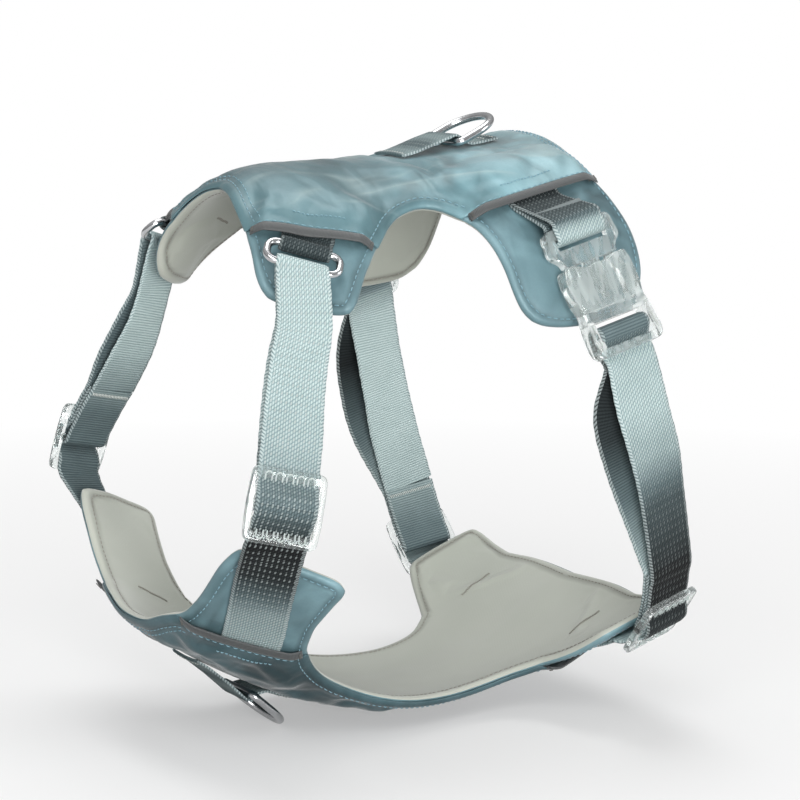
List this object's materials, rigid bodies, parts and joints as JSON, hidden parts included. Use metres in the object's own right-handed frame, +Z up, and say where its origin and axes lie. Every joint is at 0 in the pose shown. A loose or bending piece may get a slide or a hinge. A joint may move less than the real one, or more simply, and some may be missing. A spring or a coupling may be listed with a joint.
{
  "type": "dog harness",
  "caption": "Padded dog walking harness: back and breast panels joined by neck and girth straps, with sliding adjusters, side-release buckles and leash rings.",
  "frame": {"origin": "on the centre plane, below the middle of the object, at the height of its lowest point", "axes": "+X to the dog's tail, +Y to the dog's right side, +Z up; the neck opening faces -X"},
  "size_m": [0.2318, 0.2208, 0.2603],
  "materials": {
    "satin": "satin woven shell",
    "lining": "soft knitted lining",
    "foam": "soft foam padding",
    "tape": "reflective grosgrain tape",
    "webbing": "woven polyester webbing",
    "webbing_dark": "woven polyester webbing, dark",
    "chrome": "plated steel wire",
    "clear": "clear moulded acetal"
  },
  "bodies": {
    "harness": {"back_lining": "lining", "back_foam": "foam", "back_cover": "satin", "back_front_tab_cover_left": "satin", "back_front_tape_left": "tape", "back_front_tab_cover_right": "satin", "back_front_tape_right": "tape", "back_rear_tab_cover_left": "satin", "back_rear_tape_left": "tape", "back_rear_tab_cover_right": "satin", "back_rear_tape_right": "tape", "back_ring_webbing": "webbing_dark", "chest_lining": "lining", "chest_foam": "foam", "chest_cover": "satin", "chest_front_tab_cover_left": "satin", "chest_front_tape_left": "tape", "chest_front_tab_cover_right": "satin", "chest_front_tape_right": "tape", "chest_rear_tab_cover_left": "satin", "chest_rear_tape_left": "tape", "chest_rear_tab_cover_right": "satin", "chest_rear_tape_right": "tape", "chest_ring_webbing": "webbing_dark", "neck_ring_loop_left": "webbing_dark", "neck_strap_left": "webbing", "buckle_plug_left": "clear", "buckle_webbing_left": "webbing", "girth_strap_left": "webbing", "neck_ring_loop_right": "webbing_dark", "neck_strap_right": "webbing", "buckle_plug_right": "clear", "buckle_webbing_right": "webbing", "girth_strap_right": "webbing"},
    "back_ring": {"back_leash_ring": "chrome"},
    "chest_ring": {"chest_leash_ring": "chrome"},
    "neck_ring_right": {"neck_ring_right": "chrome"},
    "neck_adjuster_right": {"neck_adjuster_right": "clear", "neck_strap_end_right": "webbing"},
    "girth_adjuster_right": {"girth_adjuster_right": "clear", "girth_strap_end_right": "webbing"},
    "buckle_socket_right": {"buckle_socket_right": "clear"},
    "buckle_prong_front_right": {"buckle_prong_front_right": "clear"},
    "buckle_prong_rear_right": {"buckle_prong_rear_right": "clear"},
    "neck_ring_left": {"neck_ring_left": "chrome"},
    "neck_adjuster_left": {"neck_adjuster_left": "clear", "neck_strap_end_left": "webbing"},
    "girth_adjuster_left": {"girth_adjuster_left": "clear", "girth_strap_end_left": "webbing"},
    "buckle_socket_left": {"buckle_socket_left": "clear"},
    "buckle_prong_front_left": {"buckle_prong_front_left": "clear"},
    "buckle_prong_rear_left": {"buckle_prong_rear_left": "clear"}
  },
  "joints": [
    {"name": "back_ring_pivot", "type": "hinge", "parent": "harness", "child": "back_ring", "pos_m": [0.03891, 0, 0.24844], "axis": [0, -1, 0], "range_deg": [-10, 120], "stiffness_Nm_per_rad": 0.02},
    {"name": "chest_ring_pivot", "type": "hinge", "parent": "harness", "child": "chest_ring", "pos_m": [-0.06359, 0, 0.01764], "axis": [0, 1, 0], "range_deg": [-14, 110], "stiffness_Nm_per_rad": 0.2},
    {"name": "neck_ring_pivot_right", "type": "hinge", "parent": "harness", "child": "neck_ring_right", "pos_m": [-0.06209, 0.0555, 0.21124], "axis": [0.8549, 0.443, -0.27], "range_deg": [-8, 40], "stiffness_Nm_per_rad": 0.01, "deforming": ["neck_strap_right"]},
    {"name": "neck_adjuster_slide_right", "type": "slide", "parent": "harness", "child": "neck_adjuster_right", "axis": [0.2701, -0.3901, 0.8803], "range_m": [0, 0.025], "deforming": ["neck_strap_right"]},
    {"name": "girth_adjuster_slide_right", "type": "slide", "parent": "harness", "child": "girth_adjuster_right", "axis": [-0.1993, 0.3188, 0.9266], "range_m": [0, 0.018], "deforming": ["girth_strap_right"]},
    {"name": "buckle_slide_right", "type": "slide", "parent": "harness", "child": "buckle_socket_right", "axis": [0.2323, 0.4088, -0.8826], "range_m": [0, 0.03], "stiffness_N_per_m": 30, "deforming": ["girth_strap_right", "buckle_prong_front_right", "buckle_prong_rear_right"]},
    {"name": "buckle_prong_front_press_right", "type": "hinge", "parent": "harness", "child": "buckle_prong_front_right", "pos_m": [0.04448, 0.0886, 0.20069], "axis": [0.0818, -0.9124, -0.401], "range_deg": [0, 6], "stiffness_Nm_per_rad": 0.002},
    {"name": "buckle_prong_rear_press_right", "type": "hinge", "parent": "harness", "child": "buckle_prong_rear_right", "pos_m": [0.06348, 0.08819, 0.2055], "axis": [0.0818, -0.9124, -0.401], "range_deg": [-6, 0], "stiffness_Nm_per_rad": 0.002},
    {"name": "neck_ring_pivot_left", "type": "hinge", "parent": "harness", "child": "neck_ring_left", "pos_m": [-0.06209, -0.0555, 0.21124], "axis": [-0.8549, 0.443, 0.27], "range_deg": [-8, 40], "stiffness_Nm_per_rad": 0.01, "deforming": ["neck_strap_left"]},
    {"name": "neck_adjuster_slide_left", "type": "slide", "parent": "harness", "child": "neck_adjuster_left", "axis": [0.2701, 0.3901, 0.8803], "range_m": [0, 0.025], "deforming": ["neck_strap_left"]},
    {"name": "girth_adjuster_slide_left", "type": "slide", "parent": "harness", "child": "girth_adjuster_left", "axis": [-0.1993, -0.3188, 0.9266], "range_m": [0, 0.018], "deforming": ["girth_strap_left"]},
    {"name": "buckle_slide_left", "type": "slide", "parent": "harness", "child": "buckle_socket_left", "axis": [0.2323, -0.4088, -0.8826], "range_m": [0, 0.03], "stiffness_N_per_m": 30, "deforming": ["girth_strap_left", "buckle_prong_front_left", "buckle_prong_rear_left"]},
    {"name": "buckle_prong_front_press_left", "type": "hinge", "parent": "harness", "child": "buckle_prong_front_left", "pos_m": [0.04448, -0.0886, 0.20069], "axis": [-0.0818, -0.9124, 0.401], "range_deg": [0, 6], "stiffness_Nm_per_rad": 0.002},
    {"name": "buckle_prong_rear_press_left", "type": "hinge", "parent": "harness", "child": "buckle_prong_rear_left", "pos_m": [0.06348, -0.08819, 0.2055], "axis": [-0.0818, -0.9124, 0.401], "range_deg": [-6, 0], "stiffness_Nm_per_rad": 0.002}
  ],
  "couplings": [
    {"joint": "buckle_prong_rear_press_right", "follows": "buckle_prong_front_press_right", "ratio": -1},
    {"joint": "buckle_prong_rear_press_left", "follows": "buckle_prong_front_press_left", "ratio": -1}
  ]
}
